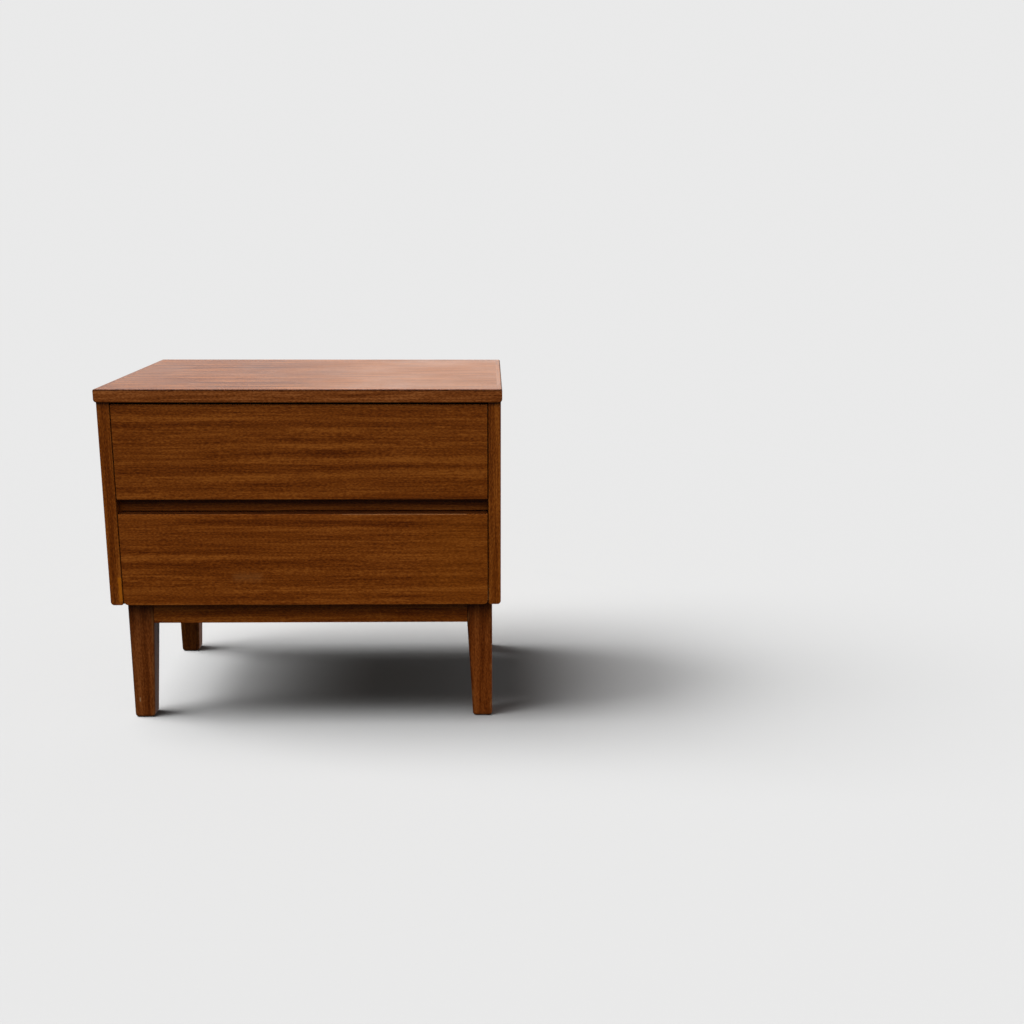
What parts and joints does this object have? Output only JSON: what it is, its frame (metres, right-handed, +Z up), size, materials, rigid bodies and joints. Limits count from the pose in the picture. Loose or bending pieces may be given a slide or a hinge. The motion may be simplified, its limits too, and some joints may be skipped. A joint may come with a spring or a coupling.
{
  "type": "nightstand",
  "caption": "Mid-century wooden nightstand: two flush drawers parted by a recessed finger gap, on a set-back base with tapered legs.",
  "frame": {"origin": "on the floor, under the middle of the top's outline", "axes": "+Z up, -Y towards the person who opens the drawers, +X to that person's right"},
  "size_m": [0.61, 0.406, 0.54],
  "materials": {
    "mahogany_veneer": "satin lacquered mahogany veneer on a board core",
    "solid_mahogany": "satin lacquered solid mahogany",
    "beech": "planed, thinly sealed beech",
    "birch_plywood": "sanded plywood",
    "steel_screws": "dull zinc-plated steel"
  },
  "bodies": {
    "case_and_base": {"back_panel": "birch_plywood", "back_panel_screws": "steel_screws", "base_screws": "steel_screws", "case_bottom_panel": "birch_plywood", "case_dowels": "beech", "corner_block_screws": "steel_screws", "front_apron": "solid_mahogany", "front_divider_rail": "solid_mahogany", "front_left_corner_block": "beech", "front_left_leg": "solid_mahogany", "front_right_corner_block": "beech", "front_right_leg": "solid_mahogany", "front_top_rail": "beech", "guide_rail_screws": "steel_screws", "left_apron": "solid_mahogany", "left_drawer_runner": "beech", "left_side_lipping": "solid_mahogany", "left_side_panel": "mahogany_veneer", "left_top_cleat": "beech", "lower_guide_rail": "beech", "rear_apron": "solid_mahogany", "rear_divider_rail": "beech", "rear_left_corner_block": "beech", "rear_left_leg": "solid_mahogany", "rear_right_corner_block": "beech", "rear_right_leg": "solid_mahogany", "rear_top_rail": "beech", "right_apron": "solid_mahogany", "right_drawer_runner": "beech", "right_side_lipping": "solid_mahogany", "right_side_panel": "mahogany_veneer", "right_top_cleat": "beech", "runner_screws": "steel_screws", "top_front_lipping": "solid_mahogany", "top_left_lipping": "solid_mahogany", "top_panel": "mahogany_veneer", "top_right_lipping": "solid_mahogany", "top_screws": "steel_screws", "upper_guide_rail": "beech"},
    "upper_drawer": {"upper_drawer_back": "beech", "upper_drawer_bottom": "birch_plywood", "upper_drawer_bottom_screws": "steel_screws", "upper_drawer_front": "mahogany_veneer", "upper_drawer_guide_channel": "beech", "upper_drawer_left_side": "beech", "upper_drawer_right_side": "beech"},
    "lower_drawer": {"lower_drawer_back": "beech", "lower_drawer_bottom": "birch_plywood", "lower_drawer_bottom_screws": "steel_screws", "lower_drawer_front": "mahogany_veneer", "lower_drawer_guide_channel": "beech", "lower_drawer_left_side": "beech", "lower_drawer_right_side": "beech"}
  },
  "joints": [
    {"name": "upper_drawer_slide", "type": "slide", "parent": "case_and_base", "child": "upper_drawer", "axis": [0, -1, 0], "range_m": [0, 0.3]},
    {"name": "lower_drawer_slide", "type": "slide", "parent": "case_and_base", "child": "lower_drawer", "axis": [0, -1, 0], "range_m": [0, 0.3]}
  ]
}
